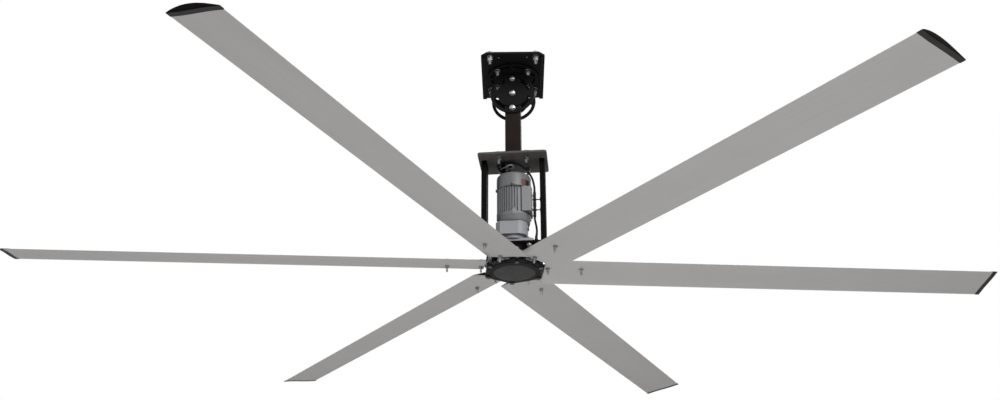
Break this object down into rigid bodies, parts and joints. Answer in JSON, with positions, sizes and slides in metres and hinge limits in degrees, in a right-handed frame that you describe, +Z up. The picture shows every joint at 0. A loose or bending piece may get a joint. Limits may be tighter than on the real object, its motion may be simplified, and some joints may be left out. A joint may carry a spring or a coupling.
{
  "type": "industrial ceiling fan",
  "caption": "Large slow ceiling fan: pitched hollow blades on a hexagonal hub under a geared motor in a two-leg frame, hung by a square tube from a swivel and tilt ceiling plate.",
  "frame": {"origin": "centre of the ceiling plate's top face, in the middle of its four free ceiling holes, on the fan's vertical axis", "axes": "+Z up along the fan's axis, +X across the ceiling plate, +Y along its longer side, away from the front of the picture"},
  "size_m": [3.6542, 3.405, 0.8739],
  "materials": {
    "black_steel": "satin black paint",
    "brown_black_steel": "satin dark brown paint",
    "zinc_steel": "zinc plated",
    "galvanised_steel": "galvanised",
    "gearbox_grey": "light grey paint on a casting",
    "motor_grey": "grey paint on a casting",
    "cowl_grey": "grey paint on sheet steel",
    "label_brown": "blank plate",
    "core_steel": "laminated steel",
    "copper_wire": "varnished copper",
    "bearing_steel": "ground",
    "shaft_steel": "turned",
    "black_rubber": "matte",
    "black_plastic": "matte",
    "hub_metal": "bare machined plate",
    "cover_black": "satin black",
    "blade_aluminium": "satin anodised",
    "cap_plastic": "matte dark"
  },
  "bodies": {
    "ceiling_mount": {"ceiling_plate": "black_steel", "anchor_bolts": "zinc_steel", "swivel_bolts": "zinc_steel"},
    "swivel_head": {"swivel_disc": "black_steel", "ear_front": "black_steel", "ear_rear": "black_steel"},
    "hanging_frame": {"down_tube": "brown_black_steel", "tilt_bolts": "zinc_steel", "flange_bolts": "zinc_steel", "frame_top_plate": "brown_black_steel", "leg_left": "black_steel", "leg_right": "black_steel", "frame_bottom_plate": "black_steel", "leg_screws": "zinc_steel", "gearbox_flange": "gearbox_grey", "gearbox_bolts": "zinc_steel", "gear_case": "gearbox_grey", "gear_case_cover": "gearbox_grey", "oil_plug": "zinc_steel", "gearbox_bearings": "bearing_steel", "shaft_seal": "black_rubber", "motor_end_shield": "motor_grey", "motor_body": "motor_grey", "stator_core": "core_steel", "stator_windings": "copper_wire", "motor_rear_shield": "motor_grey", "motor_bearings": "bearing_steel", "fan_cowl": "cowl_grey", "cowl_screws": "zinc_steel", "terminal_box": "motor_grey", "terminal_lid": "motor_grey", "label_plate": "label_brown", "safety_eye": "black_steel", "safety_shackle": "galvanised_steel", "cable_glands": "black_plastic", "motor_cable": "black_rubber", "cable_connector": "black_rubber", "cable_ties": "black_plastic"},
    "motor_rotor": {"motor_shaft": "shaft_steel", "rotor_core": "core_steel", "cooling_fan": "black_plastic"},
    "lay_shaft": {"layshaft": "shaft_steel"},
    "fan_rotor": {"output_shaft": "shaft_steel", "output_gear": "shaft_steel", "hub_lower_plate": "hub_metal", "hub_upper_plate": "black_steel", "hub_cover": "cover_black", "spars": "galvanised_steel", "blade_1": "blade_aluminium", "blade_2": "blade_aluminium", "blade_3": "blade_aluminium", "blade_4": "blade_aluminium", "blade_5": "blade_aluminium", "blade_6": "blade_aluminium", "tip_caps": "cap_plastic", "blade_bolts": "zinc_steel", "hub_bolts": "zinc_steel", "shaft_retainer": "zinc_steel"}
  },
  "joints": [
    {"name": "swivel_turn", "type": "hinge", "parent": "ceiling_mount", "child": "swivel_head", "pos_m": [0, 0, -0.012], "axis": [0, 0, 1], "range_deg": [-30.5, 39.5]},
    {"name": "mount_tilt", "type": "hinge", "parent": "swivel_head", "child": "hanging_frame", "pos_m": [0, 0, -0.1075], "axis": [0.0785, 0.9969, 0], "range_deg": [-45, 45]},
    {"name": "fan_spin", "type": "hinge", "parent": "hanging_frame", "child": "fan_rotor", "pos_m": [0, 0, -0.76], "axis": [0, 0, 1], "continuous": true},
    {"name": "layshaft_spin", "type": "hinge", "parent": "hanging_frame", "child": "lay_shaft", "pos_m": [-0.02791, 0.0022, -0.7], "axis": [0, 0, 1], "continuous": true},
    {"name": "motor_spin", "type": "hinge", "parent": "hanging_frame", "child": "motor_rotor", "pos_m": [0, 0, -0.6], "axis": [0, 0, 1], "continuous": true}
  ],
  "couplings": [
    {"joint": "layshaft_spin", "follows": "fan_spin", "ratio": -3.3077},
    {"joint": "motor_spin", "follows": "fan_spin", "ratio": 9.9231}
  ]
}
